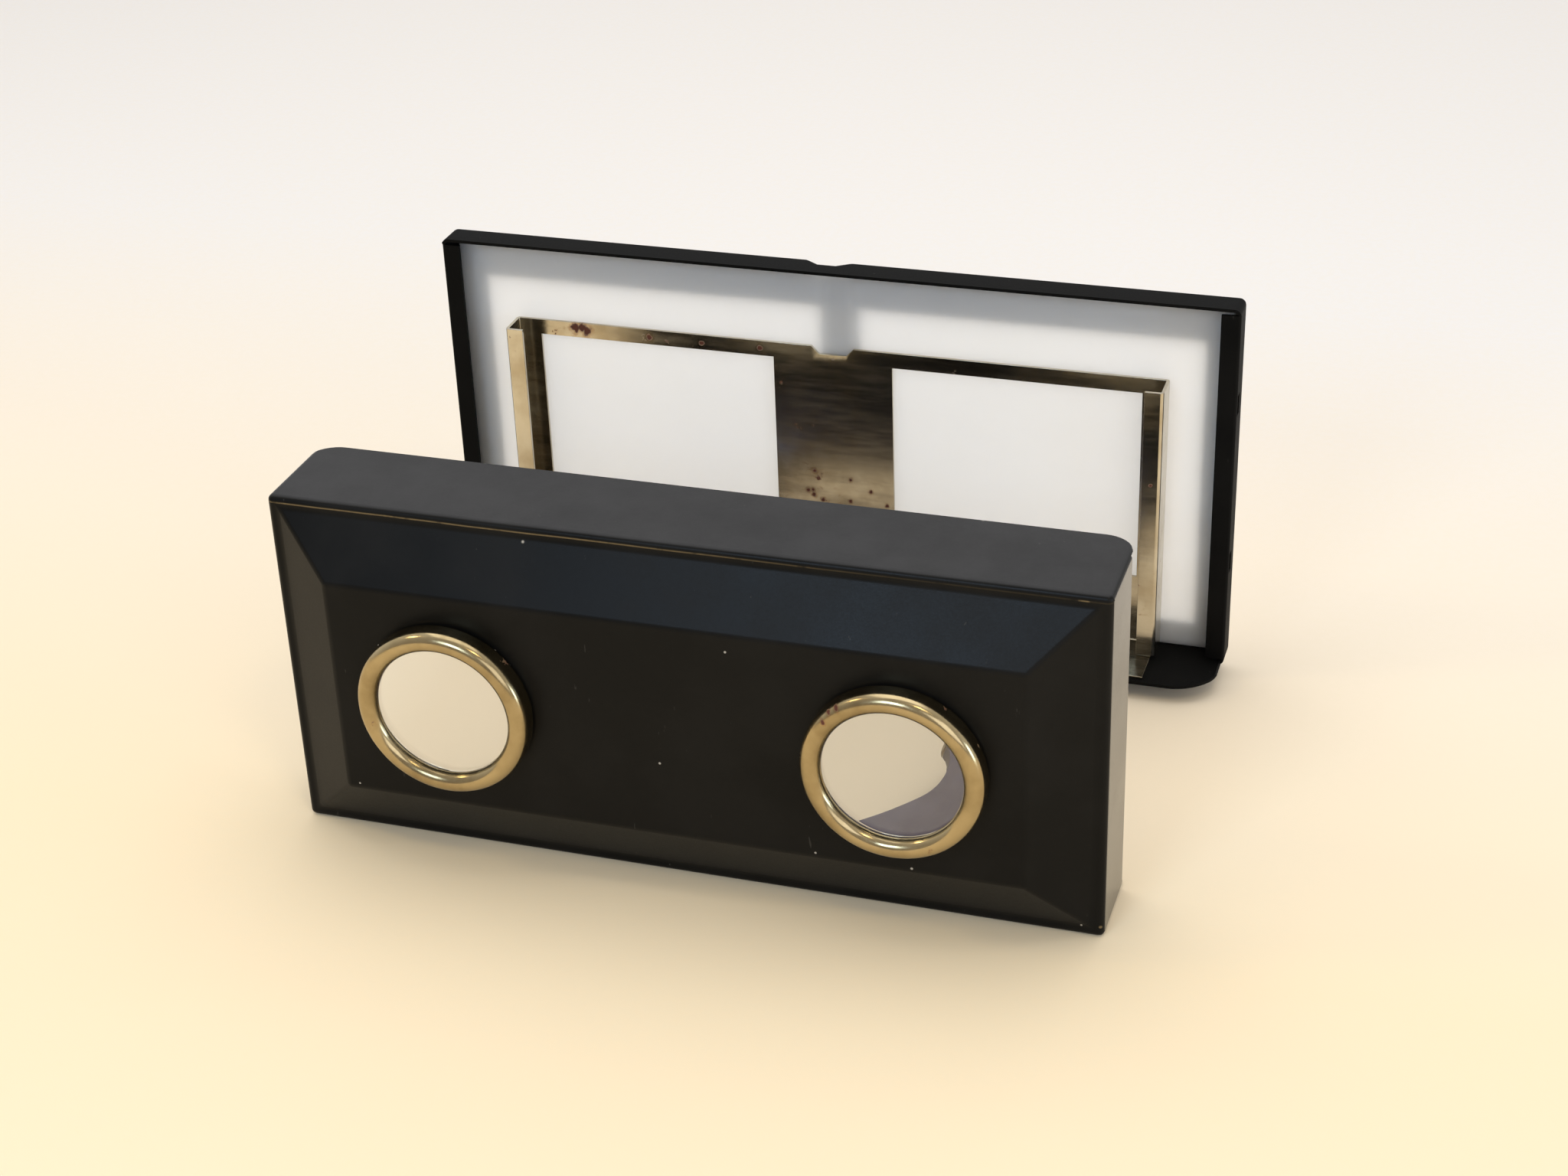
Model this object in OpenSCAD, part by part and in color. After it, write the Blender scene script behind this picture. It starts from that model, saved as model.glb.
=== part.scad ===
// Folding pocket stereoscope for 45 x 107 mm slides.
// X runs across the two lenses, Y runs from the lens panel back to the ground glass, Z is up.
// Sizes along Y are worked out from the lens shell's front rim plane, then placed() centres
// the object. The lens shell's underside is at Z = 0.

/* [Lens shell] */
// Width of the lens shell over its side flaps
shell_w = 121.8; // [114:0.1:140]
// Height of the lens shell
shell_h = 54.2; // [50:0.1:64]
// Depth of the top and bottom flaps behind the front rim
shell_flap_d = 17; // [15:0.2:20]
// Depth of the side flaps behind the front rim
shell_side_d = 12.5; // [10:0.1:14]
// Distance from the rim to the flat raised panel
bevel_inset = 10.2; // [8:0.2:12]
// How far the flat panel stands forward of the rim
bevel_rise = 5.15; // [3:0.05:7]
// Thickness of every black sheet
sheet = 0.5; // [0.4:0.05:0.8]
// Outside radius of the pressed bends
bend_r = 0.9; // [0.8:0.05:1.6]
// Flat rim left between the bend and the bevel
rim_flat = 0.8; // [0.4:0.1:1.5]

/* [Eyepieces] */
// Distance between the two lens centres
lens_spacing = 65.8; // [60:0.1:70]
// Inside radius of the rolled rim
rim_in_r = 10; // [8:0.1:11]
// Radius of the roll itself
bead_r = 1.5; // [1:0.1:1.8]
// How far the roll's outside runs straight back towards the panel
roll_l = 1.65; // [1.2:0.05:2.4]
// Radius of the roll's rear corner
roll_rear_r = 0.8; // [0.4:0.1:0.9]
// How far the lens reaches out behind the roll
lens_lap = 1.0; // [0.6:0.1:1.1]
// Wall of the thin neck, whose edge is turned out behind the panel
edge_wall = 0.3; // [0.2:0.05:0.5]
// Radius of curvature of the lens faces
lens_curve_r = 110; // [50:1:140]
// Edge thickness of a lens
lens_edge = 1.6; // [1:0.1:1.7]

/* [Slide holder] */
// Length of the glass slides it takes
slide_l = 107; // [105:0.5:108]
// Height of the glass slides it takes
slide_h = 45; // [44:0.5:46]
// Free play of a slide in the channel at each end
slide_play = 0.3; // [0.2:0.1:0.8]
// Depth of the side channels from lip to plate
channel_d = 5; // [4.6:0.1:6]
// Width of the front lips
holder_lip = 3; // [2:0.1:4]
// Thickness of the holder's sheet
holder_t = 0.5; // [0.4:0.05:0.7]
// Width of one window
window_w = 40.2; // [36:0.2:42]
// Width of the bar between the windows
septum_w = 19.8; // [16:0.2:24]
// Height of the windows
window_h = 32.4; // [28:0.2:36]
// Strip of plate above the windows
window_top = 2.55; // [1.5:0.05:4]
// Depth of the shelf in front of the plate
shelf_d = 11.4; // [10:0.2:12]
// Width of the thumb notch in the top edge
notch_w = 7; // [5:0.5:10]

/* [Back frame] */
// Width of the back frame
back_w = 130.3; // [124:0.1:150]
// Height of the back frame
back_h = 61.6; // [58:0.1:72]
// Height of the back frame's underside above the lens shell's underside
back_lift = 2.6; // [2.4:0.1:4]
// Depth of its top, sides and bottom behind the lips
back_d = 5.5; // [5:0.1:7]
// Distance of the lip plane behind the front rim plane
back_y = 73.2; // [70:0.1:80]
// Width of the side lips
back_lip = 3; // [2:0.1:3.2]
// How far the bottom flap runs forward of the lips
flap_d = 9.3; // [9:0.1:11]
// Corner radius of the bottom flap
flap_r = 7.9; // [4:0.1:9]
// Width of the rear rim at the sides
rear_side = 5.6; // [4:0.1:8]
// Height of the rear rim at the top
rear_top = 7.5; // [5:0.1:10]
// Height of the rear rim at the bottom
rear_bottom = 4.5; // [3:0.1:8]
// Thickness of the ground glass
glass_t = 1.2; // [1:0.05:1.4]

/* [Folding link] */
// Width of the folding link plates
leaf_w = 84; // [60:1:92]
// Width of the window between the two arms of the link
link_window_w = 54; // [40:1:60]
// Radius of that window's round corners
link_window_r = 2.7; // [2:0.1:4]
// Distance from the end hinges to the window
link_strip = 19.5; // [16:0.5:20]
// Length over which the window widens to its full width
link_taper = 7.2; // [5:0.1:7.5]
// How far the arms widen again at the middle hinge
link_lug = 1.2; // [0.6:0.1:2]
// Outside radius of the rolled hinge eyes
eye_r = 1.1; // [1:0.05:1.3]
// Radius of the hinge pins
pin_r = 0.6; // [0.5:0.05:0.7]
// Distance of the front hinge behind the front rim plane
hinge_front_y = 1.6; // [1.4:0.1:3]
// Depth of the bracket strip on the shell's floor
bracket_d = 12.4; // [10:0.1:14]

/* [Clearances] */
// Radial clearance of pins in their eyes
pin_gap = 0.05; // [0.02:0.01:0.1]
// Gap between neighbouring hinge eyes along the pin
eye_gap = 0.3; // [0.2:0.05:0.6]
// Small gap between pieces that are fixed together
seat = 0.03; // [0.02:0.01:0.05]

/* [Hidden] */
$fn = 64;

// Shell
flap_corner = shell_flap_d - shell_side_d;
lens_z = shell_h / 2;
panel_y = -bevel_rise;
// Eyepiece, measured along Y from the panel's front face
roll_rear_y = panel_y - 0.05;
bead_y = roll_rear_y - roll_rear_r - roll_l;
bead_c = rim_in_r + bead_r;
roll_r = bead_c + bead_r;
lens_r = rim_in_r + lens_lap;
bore_r = lens_r + 0.05;
neck_in_r = bore_r + 0.55;
neck_r = neck_in_r + edge_wall;
lens_y = bead_y + 0.1 * bead_r;
tube_end = panel_y + sheet + seat + edge_wall;
ring_t = 0.36;
ring_in_r = lens_r - 0.25;
ring_out_r = neck_in_r - 0.05;
lens_sag = lens_curve_r - sqrt(lens_curve_r * lens_curve_r - lens_r * lens_r);
ring_sag = lens_curve_r - sqrt(lens_curve_r * lens_curve_r - ring_in_r * ring_in_r);
seat_sag = lens_curve_r - sqrt(lens_curve_r * lens_curve_r - rim_in_r * rim_in_r);
// The lens touches the inner edge of its seat, so its own edge stands a little further back
lens_edge_y = lens_y + seat + lens_sag - seat_sag;
ring_y = lens_edge_y + lens_edge + lens_sag - ring_sag + seat;
// Heights
floor_z = back_lift;
hinge_z = back_lift + sheet / 2;
top_z = back_lift + back_h;
shelf_z = back_lift + sheet;
// Back frame
flap_y = back_y - flap_d;
rear_y = back_y + back_d;
hinge_rear_y = flap_y - eye_r - 0.2;
// Link
hinge_mid_y = (hinge_rear_y + hinge_front_y) / 2;
eye_n = 5;
eye_pitch = leaf_w / eye_n;
arm_eye_n = 3;
arm_pitch = ((leaf_w - link_window_w) / 2 + link_lug) / arm_eye_n;
pin_end = 0.5;
leaf_clear = eye_r + 0.45;
leaf_t = sheet;
// Glass
glass_y = rear_y - sheet - glass_t - 0.1;
glass_play = 0.8;
// Holder
inner_w = slide_l + 2 * slide_play;
holder_w = inner_w + 2 * holder_t;
plate_y = glass_y - holder_t - 0.25;
lip_y = plate_y - channel_d;
shelf_top = shelf_z + holder_t;
holder_top = shelf_top + slide_h + 1.6;
channel_z = shelf_top + 0.27;
window_z = holder_top - window_top - window_h;
shelf_w = inner_w - 0.4;
shelf_y = plate_y - shelf_d;
// Rivets
rivet_r = 0.8;
head_r = 1.4;
head_t = 0.35;
shelf_rivet_y = 3;
shelf_rivet_x = [14, 40];
strip_rivet_y = 1.6;
strip_rivets = [-3, -1, 1, 3];
strip_rivet_x = 0.62 * leaf_w / 5;
tab_z = [18.2, 45.5];
tab_h = 3.4;
tab_y = glass_y - 2.1;
top_notch_x = -0.6;
top_notch_d = 2.35;
top_notch_h = 1.35;
spring_w = 6.6;
spring_x = 1;
spring_l = 20;
spring_t = 0.4;
// The object runs from the rolled rims to the head of the spring's rivet
back_end = rear_y + spring_t + 2 * seat + head_t;
mid_y = (back_end + bead_y - bead_r) / 2;

black = [0.09, 0.09, 0.09];
bright = [0.78, 0.76, 0.72];
grey = [0.45, 0.44, 0.44];
clear = [0.85, 0.9, 0.92, 0.4];
white = [0.95, 0.93, 0.89];

// Moves a piece so that the whole object is centred on Y = 0
module placed() {
  translate([0, -mid_y, 0])
    children();
}

module box(a, b) {
  translate(a)
    cube([b[0] - a[0], b[1] - a[1], b[2] - a[2]]);
}

// A flat outline in X and Y raised between two heights
module slab(z0, z1) {
  translate([0, 0, z0])
    linear_extrude(z1 - z0)
      children();
}

// A solid that turns about an axis along Y
module along_y(y, x, z) {
  translate([x, y, z])
    rotate([-90, 0, 0])
      children();
}

// A cylinder along X from x0 to x1
module bar_x(r, x0, x1, y, z) {
  translate([x0, y, z])
    rotate([0, 90, 0])
      cylinder(r = r, h = x1 - x0);
}

// Profile of the front: half is the half width or half height of the outside, in a (across, depth) plane
module front_profile(half, t) {
  in = half - t;
  r = bend_r - t;
  rise = bevel_rise;
  rim = bend_r + rim_flat;
  shift = t * (sqrt(rise * rise + pow(bevel_inset - rim, 2)) - (bevel_inset - rim)) / rise;
  union() {
    polygon([[-in, 40], [-in, t + r], [-in + r, t], [-half + rim + shift, t],
      [-half + bevel_inset + shift, t - rise], [half - bevel_inset - shift, t - rise],
      [half - rim - shift, t], [in - r, t], [in, t + r], [in, 40]]);
    translate([-in + r, t + r])
      circle(r = r);
    translate([in - r, t + r])
      circle(r = r);
  }
}

// Outside (t = 0) or inside (t = sheet) of the pressed front, open towards the back
module front_solid(t) {
  intersection() {
    translate([0, 0, -1])
      linear_extrude(shell_h + 2)
        front_profile(shell_w / 2, t);
    translate([-shell_w, 0, shell_h / 2])
      rotate([90, 0, 90])
        linear_extrude(2 * shell_w)
          swap_profile(shell_h / 2, t);
  }
}

// The same profile with depth along the first axis and the half size along the second
module swap_profile(half, t) {
  mirror([1, -1])
    front_profile(half, t);
}

// Outline of a flap with rounded rear corners
module flap_outline(w, y0, y1, r) {
  union() {
    translate([-w / 2, y0])
      square([w, y1 - r - y0]);
    translate([-w / 2 + r, y0])
      square([w - 2 * r, y1 - y0]);
    for (s = [-1, 1])
      translate([s * (w / 2 - r), y1 - r])
        circle(r = r);
  }
}

module lens_shell() {
  color(black)
  placed()
  difference() {
    intersection() {
      front_solid(0);
      slab(-1, shell_h + 1)
        flap_outline(shell_w, -20, shell_flap_d, flap_corner);
    }
    front_solid(sheet);
    for (s = [-1, 1]) {
      translate([s * (shell_w / 2 - sheet / 2), shell_side_d + 10, shell_h / 2])
        cube([3 * sheet, 20, shell_h - 2 * sheet], center = true);
      along_y(panel_y - 1, s * lens_spacing / 2, lens_z)
        cylinder(r = neck_r + seat, h = sheet + 2);
    }
    for (k = strip_rivets)
      translate([k * strip_rivet_x, bracket_d - strip_rivet_y, -1])
        cylinder(r = rivet_r + seat, h = sheet + 2);
  }
}

// Half of an eyepiece's section: the roll, the seat of the lens behind it and the thin neck
module eyepiece_section() {
  difference() {
    union() {
      // roll, round in front and straight outside
      translate([bead_c, bead_y])
        circle(r = bead_r);
      translate([bead_c, bead_y])
        square([bead_r, roll_l]);
      translate([roll_r - roll_rear_r, bead_y + roll_l])
        circle(r = roll_rear_r);
      translate([neck_in_r, bead_y])
        square([roll_r - roll_rear_r - neck_in_r, roll_l + roll_rear_r]);
      // wall round the lens
      translate([bore_r, bead_y])
        square([bead_c - bore_r, lens_edge_y + lens_edge - bead_y]);
      // neck and its turned-out edge
      translate([neck_in_r, bead_y])
        square([edge_wall, tube_end - bead_y]);
      translate([neck_in_r, panel_y + sheet + seat])
        square([edge_wall + 1.9, edge_wall]);
    }
    translate([bore_r - 5, lens_y])
      square([5, tube_end - lens_y + 1]);
    translate([bore_r - 1, lens_edge_y + lens_edge])
      square([1 + neck_in_r - bore_r, 5]);
  }
}

module eyepiece(s) {
  color(bright)
  placed()
  along_y(0, s * lens_spacing / 2, lens_z)
  rotate_extrude()
    eyepiece_section();
}

module eyepiece_left() { eyepiece(-1); }
module eyepiece_right() { eyepiece(1); }

// A lens with two domed faces and a plain edge
module lens(s) {
  color(clear)
  placed()
  along_y(lens_edge_y, s * lens_spacing / 2, lens_z)
  rotate_extrude()
    intersection() {
      translate([0, -5])
        square([lens_r, 12]);
      translate([0, lens_edge + lens_sag - lens_curve_r])
        circle(r = lens_curve_r, $fn = 720);
      translate([0, lens_curve_r - lens_sag])
        circle(r = lens_curve_r, $fn = 720);
    }
}

module lens_left() { lens(-1); }
module lens_right() { lens(1); }

// Spring ring behind a lens, split at the bottom
module lens_ring(s) {
  color(bright)
  placed()
  along_y(ring_y, s * lens_spacing / 2, lens_z)
  difference() {
    cylinder(r = ring_out_r, h = ring_t);
    translate([0, 0, -1])
      cylinder(r = ring_in_r, h = ring_t + 2);
    translate([-0.6, 0, -1])
      cube([1.2, 20, ring_t + 2]);
  }
}

module lens_ring_left() { lens_ring(-1); }
module lens_ring_right() { lens_ring(1); }

// One rolled eye from x0 to x1: dir says on which side its sheet lies, z is that sheet's underside
module hinge_eye(x0, x1, y, dir, z) {
  difference() {
    union() {
      bar_x(eye_r, x0, x1, y, hinge_z);
      translate([x0, dir > 0 ? y : y - leaf_clear - 0.3, z])
        cube([x1 - x0, leaf_clear + 0.3, leaf_t]);
    }
    bar_x(pin_r + pin_gap, x0 - 1, x1 + 1, y, hinge_z);
  }
}

// Every second eye of a full-width hinge, starting with eye number first
module eyes(y, first, dir, z) {
  for (i = [first:2:eye_n - 1]) {
    x0 = -leaf_w / 2 + i * eye_pitch + eye_gap / 2;
    hinge_eye(x0, x0 + eye_pitch - eye_gap, y, dir, z);
  }
}

// The same at the ends of the link's two arms
module arm_eyes(y, first, dir, z) {
  for (s = [-1, 1])
    for (i = [first:2:arm_eye_n - 1]) {
      xc = s * (link_window_w / 2 - link_lug + (i + 0.5) * arm_pitch);
      hinge_eye(xc - arm_pitch / 2 + eye_gap / 2, xc + arm_pitch / 2 - eye_gap / 2, y, dir, z);
    }
}

// A pin with two small peened ends, past eyes that run from x0 to x1
module hinge_pin(x0, x1, y) {
  union() {
    bar_x(pin_r, x0 - pin_end, x1 + pin_end, y, hinge_z);
    bar_x(pin_r + 0.3, x0 - pin_end - 0.2, x0 - pin_end + 0.2, y, hinge_z);
    bar_x(pin_r + 0.3, x1 + pin_end - 0.2, x1 + pin_end + 0.2, y, hinge_z);
  }
}

module front_pin() {
  color(bright)
  placed()
  hinge_pin(-leaf_w / 2, leaf_w / 2, hinge_front_y);
}

module mid_pins() {
  color(bright)
  placed()
  union() {
    hinge_pin(link_window_w / 2 - link_lug, leaf_w / 2, hinge_mid_y);
    hinge_pin(-leaf_w / 2, -link_window_w / 2 + link_lug, hinge_mid_y);
  }
}

module rear_pin() {
  color(bright)
  placed()
  hinge_pin(-leaf_w / 2, leaf_w / 2, hinge_rear_y);
}

// Outline of the link's window: it widens at 45 degrees to two round corners, then narrows
// a little to the arms' ends at the middle hinge
module link_window(l) {
  r = link_window_r;
  cx = link_window_w / 2 - r;
  cy = link_strip + link_taper;
  tx = cx + r * cos(45);
  ty = cy - r * sin(45);
  foot_x = tx - ty + link_strip;
  end_x = link_window_w / 2 - link_lug;
  for (s = [-1, 1])
    translate([s * cx, cy])
      circle(r = r);
  polygon([[-end_x, l], [-end_x, cy], [-tx, ty], [-foot_x, link_strip],
    [foot_x, link_strip], [tx, ty], [end_x, cy], [end_x, l]]);
}

// One U-shaped plate of the link without its eyes, from the cross strip's hinge at Y = 0
module leaf_outline(l) {
  difference() {
    translate([-leaf_w / 2 + eye_gap / 2, leaf_clear])
      square([leaf_w - eye_gap, l - 2 * leaf_clear]);
    link_window(l);
  }
}

module front_leaf() {
  color(grey)
  placed()
  union() {
    slab(hinge_z, hinge_z + leaf_t)
      translate([0, hinge_front_y])
        leaf_outline(hinge_mid_y - hinge_front_y);
    eyes(hinge_front_y, 0, 1, hinge_z);
    arm_eyes(hinge_mid_y, 1, -1, hinge_z);
  }
}

module rear_leaf() {
  color(grey)
  placed()
  union() {
    slab(hinge_z, hinge_z + leaf_t)
      translate([0, hinge_rear_y])
        mirror([0, 1])
          leaf_outline(hinge_rear_y - hinge_mid_y);
    arm_eyes(hinge_mid_y, 0, 1, hinge_z);
    eyes(hinge_rear_y, 1, -1, hinge_z);
  }
}

// Strip on the shell's floor with two upturned ears that end in eyes
module front_bracket() {
  color(black)
  placed()
  difference() {
    union() {
      box([-leaf_w / 2, hinge_front_y + 0.4, sheet + seat],
        [leaf_w / 2, bracket_d + 1.2, 2 * sheet + seat]);
      for (i = [1:2:eye_n - 1]) {
        x0 = -leaf_w / 2 + i * eye_pitch + eye_gap / 2;
        x1 = x0 + eye_pitch - eye_gap;
        bar_x(eye_r, x0, x1, hinge_front_y, hinge_z);
        box([x0, hinge_front_y - 0.25, sheet + seat], [x1, hinge_front_y + 0.25, hinge_z]);
        box([x0, hinge_front_y - 0.25, sheet + seat],
          [x1, hinge_front_y + 1, 2 * sheet + seat]);
      }
    }
    bar_x(pin_r + pin_gap, -leaf_w, leaf_w, hinge_front_y, hinge_z);
    for (k = strip_rivets)
      translate([k * strip_rivet_x, bracket_d - strip_rivet_y, 0])
        cylinder(r = rivet_r + seat, h = 6 * sheet);
  }
}

module front_rivets() {
  color(bright)
  placed()
  for (k = strip_rivets)
    translate([k * strip_rivet_x, bracket_d - strip_rivet_y, 0]) {
      cylinder(r = rivet_r, h = 2 * sheet + 2 * seat + head_t);
      translate([0, 0, 2 * sheet + 2 * seat])
        cylinder(r = head_r, h = head_t);
    }
}

// Outline of the back frame's box, square in front and rounded behind
module back_outline(w, y0, y1, r) {
  flap_outline(w, y0, y1, r);
}

module back_frame() {
  rt = rear_y - sheet;
  color(black)
  placed()
  difference() {
    union() {
      // box, open to the front
      difference() {
        intersection() {
          slab(floor_z, top_z)
            back_outline(back_w, back_y, rear_y, 1 + sheet);
          back_section(0);
        }
        slab(floor_z + sheet, top_z - sheet)
          back_outline(back_w - 2 * sheet, back_y - 5, rt, 1);
      }
      // side lips
      for (s = [-1, 1])
        translate([s * (back_w / 2 - back_lip / 2), back_y + sheet / 2, (floor_z + top_z) / 2])
          cube([back_lip, sheet, back_h], center = true);
      // bottom flap
      slab(floor_z, floor_z + sheet)
        intersection() {
          mirror([0, 1])
            flap_outline(back_w, -rear_y - 10, -flap_y, flap_r);
          translate([-back_w / 2, flap_y - 1])
            square([back_w, back_y + 1 - flap_y + 1]);
        }
      // tabs pressed in to hold the glass
      for (s = [-1, 1])
        for (z = tab_z)
          translate([s * (back_w / 2 - sheet - 0.6), tab_y + 0.9, floor_z + z])
            cube([1.2 + sheet, sheet, tab_h], center = true);
      // hinge eyes rolled from the flap's front edge
      eyes(hinge_rear_y, 0, 1, floor_z);
    }
    // opening behind the glass
    box([-back_w / 2 + rear_side, rt - 1, floor_z + rear_bottom],
      [back_w / 2 - rear_side, rear_y + 1, top_z - rear_top]);
    // slots left by the tabs
    for (s = [-1, 1])
      for (z = tab_z)
        translate([s * (back_w / 2), tab_y - 0.4, floor_z + z])
          cube([3 * sheet, 2.1, tab_h], center = true);
    // notch in the rear top edge
    slab(top_z - top_notch_h, top_z + 1)
      translate([top_notch_x, rear_y])
        polygon([[-3.8, 1], [-3.8, -0.75], [-1.5, -top_notch_d],
          [1.5, -top_notch_d], [3.8, -0.75], [3.8, 1]]);
    // holder rivet holes
    for (s = [-1, 1])
      for (k = shelf_rivet_x)
        translate([s * k, shelf_y + shelf_rivet_y, floor_z - 1])
          cylinder(r = rivet_r + seat, h = 3);
    // spring rivet hole
    along_y(rt - 1, spring_x, top_z - rear_top / 2 - 0.6)
      cylinder(r = rivet_r + seat, h = 4);
  }
}

// Section of the back frame with rounded rear bends, as a long bar along X
module back_section(t) {
  translate([-back_w, 0, 0])
    rotate([90, 0, 90])
      linear_extrude(2 * back_w)
        union() {
          translate([back_y - 1, floor_z])
            square([rear_y - 1 - back_y + 1, back_h]);
          translate([back_y - 1, floor_z + 1])
            square([rear_y - back_y + 1, back_h - 2]);
          for (z = [floor_z + 1, top_z - 1])
            translate([rear_y - 1, z])
              circle(r = 1);
        }
}

module ground_glass() {
  color(white)
  placed()
  box([-back_w / 2 + sheet + glass_play, glass_y, floor_z + sheet + 0.1],
    [back_w / 2 - sheet - glass_play, glass_y + glass_t, top_z - sheet - 0.6]);
}

// Flat spring on the back of the rear rim, reaching down over the opening
module glass_spring() {
  color(bright)
  placed()
  difference() {
    box([spring_x - spring_w / 2, rear_y + seat, top_z - 1.6 - spring_l],
      [spring_x + spring_w / 2, rear_y + seat + spring_t, top_z - 1.6]);
    along_y(rear_y - 1, spring_x, top_z - rear_top / 2 - 0.6)
      cylinder(r = rivet_r + seat, h = 4);
  }
}

module spring_rivet() {
  color(bright)
  placed()
  along_y(rear_y - sheet, spring_x, top_z - rear_top / 2 - 0.6)
  union() {
    cylinder(r = rivet_r, h = sheet + spring_t + 2 * seat + head_t);
    translate([0, 0, sheet + spring_t + 2 * seat])
      cylinder(r = head_r, h = head_t);
  }
}

module slide_holder() {
  color(bright)
  placed()
  difference() {
    union() {
      // plate
      box([-holder_w / 2, plate_y, channel_z], [holder_w / 2, plate_y + holder_t, holder_top]);
      box([-shelf_w / 2, plate_y, shelf_z + seat],
        [shelf_w / 2, plate_y + holder_t, channel_z + 1]);
      // shelf
      box([-shelf_w / 2, shelf_y, shelf_z + seat],
        [shelf_w / 2, plate_y + holder_t, shelf_top]);
      for (s = [-1, 1]) {
        // channel walls
        translate([s * (holder_w / 2 - holder_t / 2), (lip_y + plate_y + holder_t) / 2,
          (channel_z + holder_top) / 2])
          cube([holder_t, plate_y + holder_t - lip_y, holder_top - channel_z], center = true);
        // channel lips
        translate([s * (holder_w / 2 - holder_lip / 2), lip_y + holder_t / 2,
          (channel_z + holder_top) / 2])
          cube([holder_lip, holder_t, holder_top - channel_z], center = true);
      }
      // scoop bent back at the thumb notch
      translate([-notch_w / 2 + 1, plate_y, holder_top - 1.9])
        cube([notch_w - 2, holder_t + 0.2, 0.5]);
    }
    // windows
    for (s = [-1, 1])
      translate([s * (septum_w + window_w) / 2, plate_y, window_z + window_h / 2])
        cube([window_w, 6 * holder_t, window_h], center = true);
    // thumb notch
    translate([0, plate_y - 1, 0])
      rotate([-90, 0, 0])
        linear_extrude(3)
          polygon([[-notch_w / 2, -holder_top - 1], [-notch_w / 2, -holder_top],
            [-notch_w / 2 + 1.2, -holder_top + 1.4], [notch_w / 2 - 1.2, -holder_top + 1.4],
            [notch_w / 2, -holder_top], [notch_w / 2, -holder_top - 1]]);
    // rivet holes
    for (s = [-1, 1])
      for (k = shelf_rivet_x)
        translate([s * k, shelf_y + shelf_rivet_y, shelf_z - 1])
          cylinder(r = rivet_r + seat, h = 3);
  }
}

module holder_rivets() {
  color(bright)
  placed()
  for (s = [-1, 1])
    for (k = shelf_rivet_x)
      translate([s * k, shelf_y + shelf_rivet_y, floor_z]) {
        cylinder(r = rivet_r, h = sheet + holder_t + 2 * seat + head_t);
        translate([0, 0, sheet + holder_t + seat])
          cylinder(r = head_r, h = head_t);
      }
}

lens_shell();
eyepiece_left();
eyepiece_right();
lens_left();
lens_right();
lens_ring_left();
lens_ring_right();
front_bracket();
front_rivets();
front_pin();
front_leaf();
mid_pins();
rear_leaf();
rear_pin();
back_frame();
ground_glass();
glass_spring();
spring_rivet();
slide_holder();
holder_rivets();
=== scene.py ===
# %% [markdown]
# # A folding pocket stereoscope
#
# This lesson dresses a small metal viewer for pairs of photographs on glass. A black pressed
# shell carries two eyepieces, a black frame behind it carries a ground glass and a bright
# holder for the slide, and a folding link joins the two. The exact solids come packed as a
# fixed frame. Here each visible part is remade in sheet metal, glass or turned metal, in the
# same place, with soft bends and a worn finish that the plain solids can't show.

# %% Load the fixed frame
import math

import bmesh
import bpy
from mathutils import Matrix, Vector


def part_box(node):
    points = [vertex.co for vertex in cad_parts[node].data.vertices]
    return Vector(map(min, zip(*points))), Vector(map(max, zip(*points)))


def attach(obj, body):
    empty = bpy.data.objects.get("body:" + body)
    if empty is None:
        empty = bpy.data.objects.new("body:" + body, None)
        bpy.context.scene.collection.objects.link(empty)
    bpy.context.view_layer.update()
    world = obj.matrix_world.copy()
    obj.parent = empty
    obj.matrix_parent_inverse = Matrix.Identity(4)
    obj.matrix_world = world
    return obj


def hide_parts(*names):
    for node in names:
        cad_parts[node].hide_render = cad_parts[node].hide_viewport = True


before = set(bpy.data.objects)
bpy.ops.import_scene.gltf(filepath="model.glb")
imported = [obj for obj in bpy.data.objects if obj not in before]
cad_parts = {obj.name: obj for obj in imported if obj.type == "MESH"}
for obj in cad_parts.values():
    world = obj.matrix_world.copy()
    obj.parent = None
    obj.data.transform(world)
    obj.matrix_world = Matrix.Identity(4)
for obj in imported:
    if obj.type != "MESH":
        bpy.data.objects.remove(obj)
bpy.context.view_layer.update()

mm = 0.001

# %% [markdown]
# ## Where things are
#
# The viewer was drawn with its depths measured from one plane, the front rim of the lens
# shell. The frame's own Y runs from the middle of the object. So one small helper turns a
# depth behind the rim into a place in the frame, and everything else is read off the solids.

# %% Depths and helpers for places
shell_low, shell_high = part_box("lens_shell")
rim_plane = shell_high.y - 17.0 * mm  # the long flaps reach 17 mm behind the front rim


def depth(d):
    """A depth in mm behind the shell's front rim, as a place along Y in metres."""
    return rim_plane + d * mm


tray_low, tray_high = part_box("back_frame")
holder_low, holder_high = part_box("slide_holder")
glass_low, glass_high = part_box("ground_glass")
print("rim plane at", round(rim_plane / mm, 3), "mm")

# %% [markdown]
# ## Camera
#
# The photograph was taken from a little to the right and well above, with a short telephoto
# view. Straight edges of the object gave the angles: 18.6 degrees round, 29 degrees up and a
# slight tilt of the camera. The camera is placed from these numbers with a matrix, because
# a tracking constraint could not hold the tilt.

# %% Camera
turn, lift, tilt = math.radians(18.619), math.radians(28.985), math.radians(-2.198)
aim, distance = Vector((9.31 * mm, depth(20.0), 37.926 * mm)), 388.374
toward_camera = Vector((math.sin(turn) * math.cos(lift), -math.cos(turn) * math.cos(lift), math.sin(lift)))
level_right = (-toward_camera).cross(Vector((0, 0, 1))).normalized()
level_up = level_right.cross(-toward_camera)
right = math.cos(tilt) * level_right + math.sin(tilt) * level_up
up = -math.sin(tilt) * level_right + math.cos(tilt) * level_up

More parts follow.
